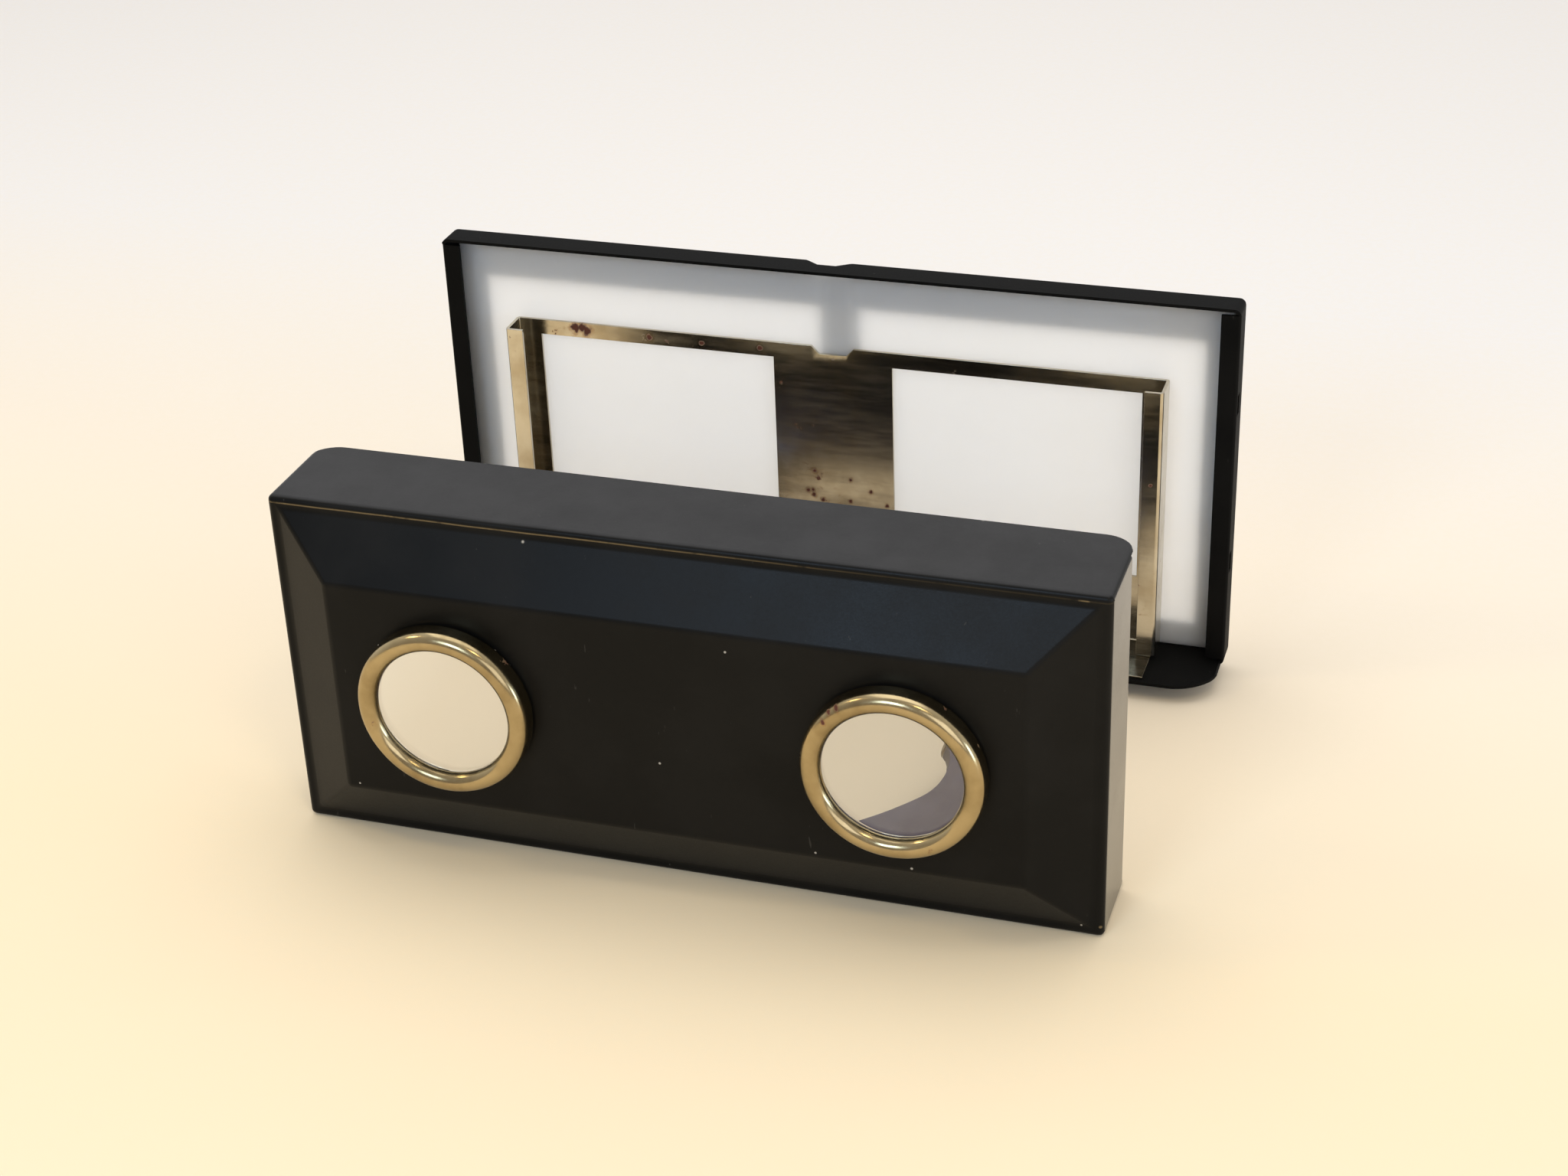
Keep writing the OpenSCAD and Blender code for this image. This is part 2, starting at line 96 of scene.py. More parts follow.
camera_data = bpy.data.cameras.new("camera")
camera_data.sensor_width = 36
camera_data.lens = 62.15
camera_data.clip_start, camera_data.clip_end = 0.01, 50
camera = bpy.data.objects.new("camera", camera_data)
bpy.context.scene.collection.objects.link(camera)
place = aim + toward_camera * distance * mm
camera.matrix_world = Matrix.Translation(place) @ Matrix((right, up, toward_camera)).transposed().to_4x4()
bpy.context.scene.camera = camera
print("camera at", [round(c / mm, 1) for c in place], "mm")

# %% [markdown]
# ## Nodes for the finishes
#
# Every finish here is a small tree of shader nodes. Writing out each link by hand hides what
# the finish does, so these helpers add a node, a noise, a ramp or a sum in one line each.
# All patterns use Object coordinates, which stay with the piece when the viewer folds.

# %% Helpers for shader trees


class Finish:
    """A material under construction: a Principled shader and short calls that add nodes to it."""

    def __init__(self, name):
        self.material = bpy.data.materials.new(name)
        self.material.use_nodes = True
        self.tree = self.material.node_tree
        self.shader = self.tree.nodes["Principled BSDF"]
        self.place = self.tree.nodes.new("ShaderNodeTexCoord").outputs["Object"]

    def node(self, kind, inputs=(), **settings):
        made = self.tree.nodes.new("ShaderNode" + kind)
        for key, value in settings.items():
            setattr(made, key, value)
        for key, value in dict(inputs).items():
            self.give(made.inputs[key], value)
        return made

    def give(self, socket, value):
        if isinstance(value, bpy.types.NodeSocket):
            self.tree.links.new(value, socket)
        else:
            socket.default_value = value

    def sum(self, operation, a, b=0.0):
        return self.node("Math", {0: a, 1: b}, operation=operation).outputs[0]

    def noise(self, scale, detail=3.0, rough=0.55, stretch=None):
        at = self.place
        if stretch:
            at = self.node("Mapping", {"Vector": at, "Scale": stretch}).outputs[0]
        made = self.node("TexNoise", {"Vector": at, "Scale": scale, "Detail": detail, "Roughness": rough})
        return made.outputs["Fac"]

    def cells(self, scale):
        return self.node("TexVoronoi", {"Vector": self.place, "Scale": scale}).outputs

    def ramp(self, value, low, high, out_low=0.0, out_high=1.0, smooth=True):
        span = {"From Min": low, "From Max": high, "To Min": out_low, "To Max": out_high}
        made = self.node("MapRange", {"Value": value, **span})
        made.interpolation_type = "SMOOTHSTEP" if smooth else "LINEAR"
        made.clamp = True
        return made.outputs["Result"]

    def mix(self, factor, a, b):
        made = self.node("Mix", data_type="RGBA")
        self.give(made.inputs["Factor"], factor)
        self.give(made.inputs[6], a)
        self.give(made.inputs[7], b)
        return made.outputs[2]

    def blend(self, factor, a, b):
        made = self.node("Mix", data_type="FLOAT")
        self.give(made.inputs["Factor"], factor)
        self.give(made.inputs[2], a)
        self.give(made.inputs[3], b)
        return made.outputs[0]

    def axes(self):
        made = self.node("SeparateXYZ", {"Vector": self.place})
        return made.outputs["X"], made.outputs["Y"], made.outputs["Z"]

    def band(self, value, middle, half, soft):
        """1 where value is within half of middle, falling to 0 over soft."""
        off = self.sum("ABSOLUTE", self.sum("SUBTRACT", value, middle))
        return self.ramp(off, half, half + soft, 1.0, 0.0)

    def blot(self, places, size, ragged=0.6):
        """1 inside small uneven marks, placed in mm on the X-Z plane."""
        x, y, z = self.axes()
        flat = self.node("CombineXYZ", {"X": x, "Z": z}).outputs[0]
        away = 1.0
        for px, pz in places:
            gap = self.node("VectorMath", {0: flat, 1: (px * mm, 0, pz * mm)}, operation="DISTANCE")
            away = self.sum("MINIMUM", gap.outputs["Value"], away)
        uneven = self.sum("MULTIPLY", self.sum("SUBTRACT", self.noise(1100, 3), 0.5), 2 * ragged * size * mm)
        return self.ramp(self.sum("ADD", away, uneven), 0.55 * size * mm, size * mm, 1.0, 0.0)

    def bump(self, height, strength, distance):
        made = self.node("Bump", {"Height": height, "Strength": strength, "Distance": distance})
        self.give(self.shader.inputs["Normal"], made.outputs["Normal"])

    def set(self, **values):
        for key, value in values.items():
            self.give(self.shader.inputs[key.replace("_", " ")], value)
        return self.material


def colour(r, g, b):
    """A screen colour, 0 to 255, as the linear colour that a shader takes."""
    return (*[((c / 255 + 0.055) / 1.055) ** 2.4 if c > 10 else c / 255 / 12.92 for c in (r, g, b)], 1.0)


# %% [markdown]
# ## Black enamel
#
# The shell and the back frame are pressed steel with a thin black enamel, satin on the shell
# and nearly matt on the frame. Close up it is not flat black: a fine orange peel breaks up
# the gloss, dust sits on it as pale specks, and along the top bend of the front the enamel
# has rubbed through in a thin tan line that fades to the right. Specks come from a cell
# pattern whose cells are kept only where a second noise is high, and a few larger ones are
# put where they lie on the real front. The shell's side walls, where the fingers hold it,
# are rubbed to a high gloss. The shell's top face has painted light: its colour is lifted
# towards pale grey, a painted sheen for the light that the top catches from above.

# %% Black enamel
dust_places = [(-43.1, 35.1), (-25.1, 36.8), (-23.1, 34.7), (-48.9, 10.9), (20.9, 10.8),
               (34.8, 10.6), (57.7, 1.8), (-1.5, 22.0), (9.0, 41.5)]
chip_places = [(60.4, 1.8)]


def black_enamel(name, level, gloss, front=False):
    f = Finish(name)
    x, y, z = f.axes()
    cloud = f.noise(60, 4)
    grain = f.noise(4200, 2)
    dust = f.cells(330)
    keep = f.ramp(f.node("TexWhiteNoise", {"Vector": dust["Position"]}).outputs["Value"], 0.988, 0.995)
    speck = f.sum("MULTIPLY", f.ramp(dust["Distance"], 0.00, 0.11, 1.0, 0.0), keep)
    fibres = f.ramp(f.noise(900, 3, 0.7, (1, 1, 0.2)), 0.70, 0.76)
    shade = f.mix(f.ramp(cloud, 0.35, 0.7), (0.0035, 0.0035, 0.0034, 1), (0.0065, 0.0062, 0.0058, 1))
    if front:
        left = f.ramp(x, -20 * mm, 36 * mm, 1.0, 0.12)
        ends = f.sum("MAXIMUM", left, f.band(x, 57 * mm, 0.4 * mm, 0.6 * mm))
        height = f.sum("ADD", z, f.sum("MULTIPLY", f.sum("SUBTRACT", f.noise(55, 2), 0.5), 0.35 * mm))
        line = f.band(height, shell_high.z - 0.98 * mm, 0.03 * mm, 0.14 * mm)
        rubbed = f.sum("MULTIPLY", line, f.ramp(f.noise(260, 4), 0.30, 0.46))
        front_only = f.ramp(y, rim_plane + 0.45 * mm, rim_plane + 0.7 * mm, 1.0, 0.0)
        bare = f.sum("MULTIPLY", f.sum("MULTIPLY", rubbed, ends), front_only)
        bare = f.sum("MAXIMUM", bare, f.blot(chip_places, 0.3))
        shade = f.mix(bare, shade, f.mix(f.noise(900), colour(122, 104, 74), colour(84, 72, 52)))
        speck = f.sum("MAXIMUM", speck, f.sum("MULTIPLY", f.blot(dust_places, 0.21), 0.6))
        # Painted light: the shell's top face is mixed towards pale grey, a painted sheen for the light it
        # catches from above.
        on_top = f.ramp(z, shell_high.z - 0.3 * mm, shell_high.z - 0.05 * mm)
        top_painted_light = f.sum("MULTIPLY", on_top, f.ramp(f.noise(90, 5, 0.7), 0.25, 0.75, 0.028, 0.044))
        shade = f.mix(top_painted_light, shade, colour(214, 212, 216))
    shade = f.mix(f.sum("MULTIPLY", fibres, 0.12), shade, colour(120, 116, 110))
    shade = f.mix(f.sum("MULTIPLY", speck, 0.9), shade, colour(214, 208, 198))
    rough = f.sum("ADD", f.ramp(cloud, 0.3, 0.75, gloss, gloss + 0.08), f.ramp(grain, 0.3, 0.7, 0.0, 0.05))
    f.bump(f.sum("ADD", grain, f.sum("MULTIPLY", f.noise(1400, 2), 1.2)), 0.12, 0.00002)
    f.set(Base_Color=shade, Roughness=f.blend(speck, rough, 0.8))
    f.shader.inputs["Specular IOR Level"].default_value = level
    return f.material


shell_black = black_enamel("black_enamel_shell", 0.12, 0.30, front=True)
side_black = black_enamel("black_enamel_side", 1.0, 0.12)
tray_black = black_enamel("black_enamel_frame", 0.05, 0.55)
print("finishes so far:", [m.name for m in bpy.data.materials if "enamel" in m.name])

# %% [markdown]
# ## Bright metal
#
# The eyepiece rims and the slide holder are nickelled. Old nickel is warm rather than blue,
# has a faint cloudy tarnish, fine scratches and freckles of red-brown rust where the steel
# below has come through. Rust is rough and not metallic, so the same mask drives the colour,
# the roughness, the metalness and a little height.

# %% Nickel, spring steel and grey steel


def bright_metal(name, clean, dull, roughness, rust=0.6, rust_scale=260, rust_patch=45, scratch=0.1,
                 stretch=(1, 1, 1), marks=()):
    f = Finish(name)
    tarnish = f.ramp(f.noise(85, 5, 0.6), 0.35, 0.72)
    streak = f.noise(700, 4, 0.7, stretch)
    freckle = f.ramp(f.noise(rust_scale, 5, 0.65), rust, rust + 0.035)
    where = f.ramp(f.noise(rust_patch, 2, 0.5), 0.48, 0.6)
    spot = f.sum("MULTIPLY", freckle, where)
    halo = f.sum("MULTIPLY", f.ramp(f.noise(rust_scale, 5, 0.65), rust - 0.07, rust + 0.02), where)
    for places, size in marks:
        spot = f.sum("MAXIMUM", spot, f.blot(places, size, 0.9))
        halo = f.sum("MAXIMUM", halo, f.blot(places, size * 1.8, 0.7))
    metal = f.mix(tarnish, clean, dull)
    metal = f.mix(f.sum("MULTIPLY", halo, 0.55), metal, colour(150, 116, 84))
    rusty = f.mix(f.noise(1500), colour(104, 52, 30), colour(62, 32, 22))
    f.bump(f.sum("ADD", f.sum("MULTIPLY", spot, 0.9), f.sum("MULTIPLY", streak, 0.35)), scratch, 0.00004)
    scuffed = f.ramp(streak, 0.3, 0.75, roughness, roughness + 0.09)
    rough = f.sum("ADD", scuffed, f.sum("MULTIPLY", tarnish, 0.05))
    f.set(Base_Color=f.mix(spot, metal, rusty), Metallic=f.sum("SUBTRACT", 1.0, spot))
    f.set(Roughness=f.blend(spot, rough, 0.85))
    return f.material


rim_marks = [([(24.6, 36.4), (25.6, 37.3), (23.8, 35.0)], 0.4)]
rim_nickel = bright_metal("nickel_rim", colour(181, 163, 125), colour(143, 125, 90), 0.14, rust=0.665,
                          rust_scale=420, rust_patch=60, marks=rim_marks)
holder_marks = [([(-42.8, 49.4), (-42.0, 49.0), (-43.9, 49.3)], 0.9),
                ([(-3.5, 27.9), (-4.7, 24.2), (-3.7, 23.5), (-2.2, 22.7)], 0.42),
                ([(2.6, 26.9), (2.5, 23.0), (6.0, 25.1), (8.7, 22.9), (52.7, 34.4), (-3.9, 24.4)], 0.34),
                ([(-31.0, 48.9), (-22.1, 48.8), (-12.1, 48.9)], 0.55)]
holder_nickel = bright_metal("nickel_holder", colour(205, 198, 182), colour(176, 163, 138), 0.13, rust=0.66,
                             rust_scale=520, rust_patch=75, scratch=0.06, stretch=(0.15, 1, 1),
                             marks=holder_marks)
spring_steel = bright_metal("spring_steel", colour(176, 172, 164), colour(140, 134, 122), 0.3, rust=0.66)
link_steel = bright_metal("link_steel", colour(106, 99, 110), colour(90, 83, 93), 0.45, rust=0.72,
                          stretch=(1, 0.1, 1))
pin_steel = bright_metal("pin_steel", colour(182, 176, 164), colour(140, 130, 112), 0.28, rust=0.62)
print("metals:", [m.name for m in (rim_nickel, holder_nickel, spring_steel, link_steel, pin_steel)])

# %% [markdown]
# ## Glass
#
# Two kinds. The lenses are clear polished glass that really bend light, so they show the
# table behind the shell as the real ones do. The ground glass is white and matt and lets
# light soak through from behind, so it glows a little in its windows, and the frame's rear
# rim and the flat spring behind it show as soft grey borders. Soaking is left to the shader's
# own scattering below the surface. The soft grey of the borders is also painted into the
# glass's colour as painted shade, by its distance from the rim's edge, and the spring's
# shadow is painted in as a soft grey column, so that both stay when the light changes.

# %% Lens glass and ground glass
f = Finish("lens_glass")
lens_glass = f.set(Base_Color=(0.985, 0.992, 0.98, 1), IOR=1.52)
f.shader.inputs["Transmission Weight"].default_value = 1.0
haze = f.noise(160, 3)
f.set(Roughness=f.ramp(haze, 0.45, 0.8, 0.0, 0.012))

opening_x = 59.55 * mm
opening_low, opening_high = tray_low.z + 4.5 * mm, tray_high.z - 7.5 * mm


def ground_glass_finish():
    f = Finish("ground_glass")
    x, y, z = f.axes()
    wobble = f.sum("MULTIPLY", f.sum("SUBTRACT", f.noise(35, 3), 0.5), 1.6 * mm)
    side = f.sum("SUBTRACT", f.sum("ADD", f.sum("ABSOLUTE", x), wobble), opening_x)
    top = f.sum("SUBTRACT", f.sum("ADD", z, wobble), opening_high)
    foot = f.sum("SUBTRACT", f.sum("ADD", opening_low, wobble), z)
    edge = f.sum("MAXIMUM", f.sum("MAXIMUM", side, top), foot)
    # Painted shade: the glass greys towards the rim's edge, where the black rim behind it blocks the light.
    rim = f.ramp(edge, -3.5 * mm, 2.5 * mm)
    # Painted shadow: a soft grey column where the flat spring behind the glass blocks the light.
    spring_across = f.band(f.sum("SUBTRACT", x, 1 * mm), 0.0, 0.6 * mm, 3.0 * mm)
    spring_down = f.ramp(z, tray_high.z - 24 * mm, tray_high.z - 13 * mm)
    spring = f.sum("MULTIPLY", spring_across, spring_down)
    cloud = f.ramp(f.noise(26, 4), 0.35, 0.7)
    shade = f.mix(cloud, colour(254, 251, 245), colour(251, 247, 240))
    shade = f.mix(rim, shade, colour(243, 242, 240))
    shade = f.mix(f.sum("MULTIPLY", spring, 0.5), shade, colour(196, 196, 198))
    f.bump(f.noise(5200, 2), 0.35, 0.00001)
    f.set(Base_Color=shade, Roughness=f.ramp(f.noise(300, 3), 0.3, 0.7, 0.55, 0.7))
    f.shader.inputs["Specular IOR Level"].default_value = 0.3
    f.shader.inputs["Subsurface Weight"].default_value = 1.0
    f.shader.inputs["Subsurface Radius"].default_value = (1.0, 0.97, 0.92)
    f.shader.inputs["Subsurface Scale"].default_value = 9 * mm
    return f.material


matt_glass = ground_glass_finish()
print("finishes:", len(bpy.data.materials))

# %% [markdown]
# ## Working a sheet
#
# Most of this object is thin steel sheet. The shop's way is copied here: cut a flat blank,
# draw its edges out into walls, round the bends, and only then give the sheet its thickness.
# `blank` is a grid turned upright, `draw_out` extrudes edges, and `finish_piece` puts the
# work on its body, adds thickness and a small broken edge with modifiers, and hides the
# solid it stands for.

# %% Helpers for sheet work


def blank(bm, x0, x1, z0, z1, y):
    """A flat rectangle of sheet that stands in the X-Z plane and faces -Y."""
    verts = bmesh.ops.create_grid(bm, x_segments=1, y_segments=1, size=0.5)["verts"]
    bmesh.ops.scale(bm, vec=(x1 - x0, z1 - z0, 1), verts=verts)
    bmesh.ops.rotate(bm, cent=(0, 0, 0), matrix=Matrix.Rotation(math.radians(90), 3, "X"), verts=verts)
    bmesh.ops.translate(bm, vec=((x0 + x1) / 2, y, (z0 + z1) / 2), verts=verts)
    return verts


def flat_blank(bm, x0, x1, y0, y1, z):
    """A flat rectangle of sheet that lies in the X-Y plane and faces up."""
    verts = bmesh.ops.create_grid(bm, x_segments=1, y_segments=1, size=0.5)["verts"]
    bmesh.ops.scale(bm, vec=(x1 - x0, y1 - y0, 1), verts=verts)
    bmesh.ops.translate(bm, vec=((x0 + x1) / 2, (y0 + y1) / 2, z), verts=verts)
    return verts


def edges_where(bm, test):
    """The edges whose both ends pass a test of their place."""
    return [e for e in bm.edges if all(test(v.co) for v in e.verts)]


def open_edges(bm, test):
    """The same, on the sheet's border only."""
    return [e for e in edges_where(bm, test) if len(e.link_faces) == 1]


def faces_where(bm, test):
    """The faces whose middle passes a test of its place."""
    return [face for face in bm.faces if test(face.calc_center_median())]


def near(a, b, slack=0.02 * mm):
    return abs(a - b) < slack


def bent(bm, angle):
    """The edges where two faces meet at more than an angle, in radians."""
    return [e for e in bm.edges if len(e.link_faces) == 2 and e.calc_face_angle(0) > angle]


def draw_out(bm, edges, vector):
    """Extrudes edges by a vector and gives back the new outer edges."""
    made = bmesh.ops.extrude_edge_only(bm, edges=edges)["geom"]
    verts = [g for g in made if isinstance(g, bmesh.types.BMVert)]
    bmesh.ops.translate(bm, vec=vector, verts=verts)
    fresh = set(verts)
    return [g for g in made if isinstance(g, bmesh.types.BMEdge) and all(v in fresh for v in g.verts)]


def cut(bm, faces, point, normal, trim=False):
    """Scores a line across some faces only. With trim, what lies beyond it is taken off."""
    parts = set(faces)
    for face in faces:
        parts.update(face.edges)
        parts.update(face.verts)
    bmesh.ops.bisect_plane(bm, geom=list(parts), dist=1e-7, plane_co=point, plane_no=normal, clear_outer=trim)


def bevel(bm, parts, radius, segments, affect):
    bmesh.ops.bevel(bm, geom=parts, offset=radius, offset_type="OFFSET", segments=segments, profile=0.5,
                    affect=affect, clamp_overlap=True, material=-1)


def round_edges(bm, edges, radius, segments=3):
    bevel(bm, edges, radius, segments, "EDGES")


def round_corners(bm, verts, radius, segments=8):
    bevel(bm, verts, radius, segments, "VERTICES")


def trim_round(bm, test, centre, radius, corner, steps=8):
    """Rounds a flap's corner by trimming it with planes that touch an arc.

    corner gives the signs of X and Y that point out at the corner.
    """
    for i in range(steps + 1):
        turn = math.radians(90 * (i + 0.5) / (steps + 1))
        normal = Vector((corner[0] * math.cos(turn), corner[1] * math.sin(turn), 0))
        point = Vector((centre[0], centre[1], 0)) + normal * radius
        cut(bm, faces_where(bm, test), point, normal, trim=True)


def face_outward(bm, front_normal):
    """Makes the normals agree, then checks one known direction."""
    bmesh.ops.recalc_face_normals(bm, faces=bm.faces)
    best = max(bm.faces, key=lambda face: face.calc_area() * abs(face.normal.dot(front_normal)))
    if best.normal.dot(front_normal) < 0:
        bmesh.ops.reverse_faces(bm, faces=bm.faces)


def finish_piece(name, bm, body, node, finish, thickness=0.0, edge=0.08, segments=2):
    """Turns the work into an object on its body, with its sheet thickness and softened edges."""
    mesh = bpy.data.meshes.new(name)
    bm.to_mesh(mesh)
    bm.free()
    for polygon in mesh.polygons:
        polygon.use_smooth = True
    piece = bpy.data.objects.new(name, mesh)
    bpy.context.scene.collection.objects.link(piece)
    mesh.materials.append(finish)
    if thickness:
        wall = piece.modifiers.new("thickness", "SOLIDIFY")
        wall.thickness, wall.offset, wall.use_even_offset = thickness * mm, -1.0, True
    if edge:
        soft = piece.modifiers.new("broken_edge", "BEVEL")
        soft.width, soft.segments, soft.use_clamp_overlap = edge * mm, segments, True
        soft.limit_method, soft.angle_limit = "ANGLE", math.radians(38)
    level = piece.modifiers.new("even_shading", "WEIGHTED_NORMAL")
    level.keep_sharp, level.weight = True, 70
    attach(piece, body)
    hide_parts(node)
    print(name, "faces:", len(mesh.polygons), "on", body)
    return piece


# %% [markdown]
# ## The lens shell
#
# One sheet pressed into a shallow box whose front stands forward as a cut-off pyramid. The
# blank is its rim. Its edges are drawn back into four walls, and the top and bottom walls a
# little further, with rounded rear corners. Two insets make the flat rim and then the raised
# panel with its slanted sides. The two holes for the eyepieces are made by scoring a square
# round each centre, taking the square out, extruding its edge once and pulling the new edge
# in to a circle, which keeps the panel flat. Last come the bends: small ones where the press
# creased the sheet and a larger one round the rim.

# %% Lens shell
lens_x, lens_z = 32.9 * mm, (shell_low.z + shell_high.z) / 2
panel_plane, side_flap_end = depth(-5.15), depth(12.5)
bm = bmesh.new()
blank(bm, shell_low.x, shell_high.x, shell_low.z, shell_high.z, rim_plane)
draw_out(bm, list(bm.edges), (0, 12.5 * mm, 0))
front = faces_where(bm, lambda c: near(c.y, rim_plane))[0]
bmesh.ops.inset_region(bm, faces=[front], thickness=1.7 * mm, use_even_offset=True)
bmesh.ops.inset_region(bm, faces=[front], thickness=8.5 * mm, use_even_offset=True)
bmesh.ops.translate(bm, vec=(0, panel_plane - rim_plane, 0), verts=list(front.verts))
print("panel corner", [round(v / mm, 2) for v in front.verts[0].co])

# %% Eyepiece holes


def panel_faces():
    return faces_where(bm, lambda c: near(c.y, panel_plane))


hole_r, square = 11.93 * mm, 13.5 * mm
for reach in (-lens_x - square, -lens_x + square, lens_x - square, lens_x + square):
    cut(bm, panel_faces(), (reach, 0, 0), (1, 0, 0))
for reach in (-square, square):
    cut(bm, panel_faces(), (0, 0, lens_z + reach), (0, 0, 1))
for side in (-1, 1):
    centre = Vector((side * lens_x, panel_plane, lens_z))
    window = min(panel_faces(), key=lambda face: (face.calc_center_median() - centre).length)
    border = list(window.edges)
    bmesh.ops.delete(bm, geom=[window], context="FACES_ONLY")
    bmesh.ops.subdivide_edges(bm, edges=border, cuts=15)
    border = open_edges(bm, lambda c: near(c.y, panel_plane) and (c - centre).length < 20 * mm)
    hole = draw_out(bm, border, (0, 0, 0))
    for v in {v for e in hole for v in e.verts}:
        v.co = centre + (v.co - centre).normalized() * hole_r
    print("hole on side", side, "has", len(hole), "edges")

# %% Bends of the shell
in_front = set(edges_where(bm, lambda c: abs(c.x) < shell_high.x - 1 * mm
                           and abs(c.z - lens_z) < lens_z - 1 * mm))
creases = [e for e in bent(bm, 0.3) if e in in_front]
round_edges(bm, creases, 0.5 * mm, 4)
folds = bent(bm, 1.0)
round_edges(bm, folds, 0.9 * mm, 5)
print("bends:", len(creases), "creases and", len(folds), "folds of the rim")

# %% Long flaps of the shell
flap_more = 4.5 * mm
rear_edges = open_edges(bm, lambda c: near(c.y, side_flap_end) and abs(c.z - lens_z) > lens_z - 0.4 * mm)
draw_out(bm, rear_edges, (0, flap_more, 0))
for side in (-1, 1):
    centre = (side * 56.4 * mm, side_flap_end)
    trim_round(bm, lambda c: c.y > side_flap_end, centre, flap_more, (side, 1))
face_outward(bm, Vector((0, -1, 0)))
shell = finish_piece("shell_pressing", bm, "lens_front", "lens_shell", shell_black, 0.5,
                     edge=0.06)
shell.data.materials.append(side_black)
for polygon in shell.data.polygons:
    if abs(polygon.center.x) > shell_high.x - 0.05 * mm:
        polygon.material_index = 1

# %% [markdown]
# ## Turned and rolled parts
#
# An eyepiece is a ring whose front is rolled over into a round bead. The outside of the roll
# runs straight back to the panel. Inside it the lens sits against a ledge, and a thin neck
# goes through the panel and is turned out behind it. A lathe makes such a part from its
# profile, and so does `bmesh.ops.spin`: half a section goes round the axis once. The same
# helper turns the lenses, the rivets and the hinge pins. After a full turn the first and
# last rings are merged and the normals are worked out again, because a spin may leave them
# pointing in.

# %% Lathe helper


def turned(bm, profile, centre, axis, steps, angle=360.0, out=(0, 0, 1)):
    """Spins a line of (radius, along) points, in mm, round an axis through centre."""
    axis, out = Vector(axis), Vector(out)
    verts = [bm.verts.new(Vector(centre) + out * r * mm + axis * a * mm) for r, a in profile]
    edges = [bm.edges.new(pair) for pair in zip(verts, verts[1:])]
    bmesh.ops.spin(bm, geom=verts + edges, cent=centre, axis=axis, angle=math.radians(angle),
                   steps=steps, use_merge=angle > 359)
    bmesh.ops.remove_doubles(bm, verts=bm.verts, dist=1e-7)
    bmesh.ops.recalc_face_normals(bm, faces=bm.faces)


def arc(across, along, size, start, end, steps):
    """Points of an arc in a profile: its centre, its size and its angles in degrees."""
    turns = [math.radians(start + (end - start) * i / steps) for i in range(steps + 1)]
    return [(across + size * math.cos(t), along + size * math.sin(t)) for t in turns]


# %% Eyepieces
bead_r, bead_c, bore_r, neck_in, neck_r = 1.5, 11.5, 11.05, 11.6, 11.9
bead_d, seat_d, step_d, tube_end, flange = -7.65, -7.5, -5.774, -4.32, -4.62
roll_r, roll_rear, rear_r = 13.0, -5.2, 0.8
from_seat = 180 - math.degrees(math.asin((seat_d - bead_d) / bead_r))
rim_profile = [(neck_in, tube_end), (neck_in, step_d), (bore_r, step_d), (bore_r, seat_d)]
rim_profile += arc(bead_c, bead_d, bead_r, from_seat, 360, 40)
rim_profile += arc(roll_r - rear_r, roll_rear - rear_r, rear_r, 0, 90, 8)
rim_profile += [(neck_r, roll_rear), (neck_r, flange), (neck_r + 1.8, flange), (neck_r + 1.9, flange + 0.1)]
rim_profile += [(neck_r + 1.9, flange + 0.2), (neck_r + 1.8, tube_end), (neck_in, tube_end)]
for side, name in ((-1, "left"), (1, "right")):
    bm = bmesh.new()
    turned(bm, rim_profile, (side * lens_x, rim_plane, lens_z), (0, 1, 0), 128)
    finish_piece("rolled_rim_" + name, bm, "lens_front", "eyepiece_" + name, rim_nickel, edge=0)

# %% [markdown]
# ## Lenses and their rings
#
# Each lens is a thin glass disc with two domed faces, so its profile is two long arcs and a
# short straight edge. It reaches out behind the roll, so its edge never shows. A split ring
# of thin flat wire holds it from behind and hides in the wider end of the tube. The ring is
# spun through a little less than a full turn, which leaves the gap where it is squeezed to
# take it out.

# %% Lenses and rings
curve, lens_r, lens_d, lens_edge = 110.0, 11.0, -7.374, 1.6


def dome(r):
    """How far a lens face falls back at a radius r."""
    return curve - math.sqrt(curve * curve - r * r)


steps = [lens_r * i / 14 for i in range(15)]
lens_profile = [(r, lens_d - dome(lens_r) + dome(r)) for r in steps]
lens_profile += [(r, lens_d + lens_edge + dome(lens_r) - dome(r)) for r in reversed(steps)]
ring_d = lens_d + lens_edge + dome(lens_r) - dome(lens_r - 0.25) + 0.03
wire = [(11.15 + (r - 1) * 0.39, ring_d + 0.18 + a * 0.17) for r, a in arc(1, 0, 1, 0, 337.5, 15)]
gap = math.radians(4)
for side, name in ((-1, "left"), (1, "right")):
    place = (side * lens_x, rim_plane, lens_z)
    bm = bmesh.new()
    turned(bm, lens_profile, place, (0, 1, 0), 96)
    finish_piece("lens_disc_" + name, bm, "lens_front", "lens_" + name, lens_glass, edge=0)
    bm = bmesh.new()
    turned(bm, wire + wire[:1], place, (0, 1, 0), 72, angle=352, out=(math.sin(gap), 0, -math.cos(gap)))
    bmesh.ops.holes_fill(bm, edges=[e for e in bm.edges if len(e.link_faces) == 1], sides=40)
    bmesh.ops.recalc_face_normals(bm, faces=bm.faces)
    finish_piece("split_ring_" + name, bm, "lens_front", "lens_ring_" + name, spring_steel,
                 edge=0)

# %% [markdown]
# ## The back frame
#
# A shallow tray of the same black sheet, open to the front and cut out behind, that holds
# the ground glass. The blank is its rear face. An inset marks the rim, whose top is wider
# than its foot, and the middle is cut out. The walls are drawn forward, the side walls end
# in narrow lips, and the floor runs on as a long flap with big round corners. Small tabs
# pressed out of the side walls keep the glass back against the rim.

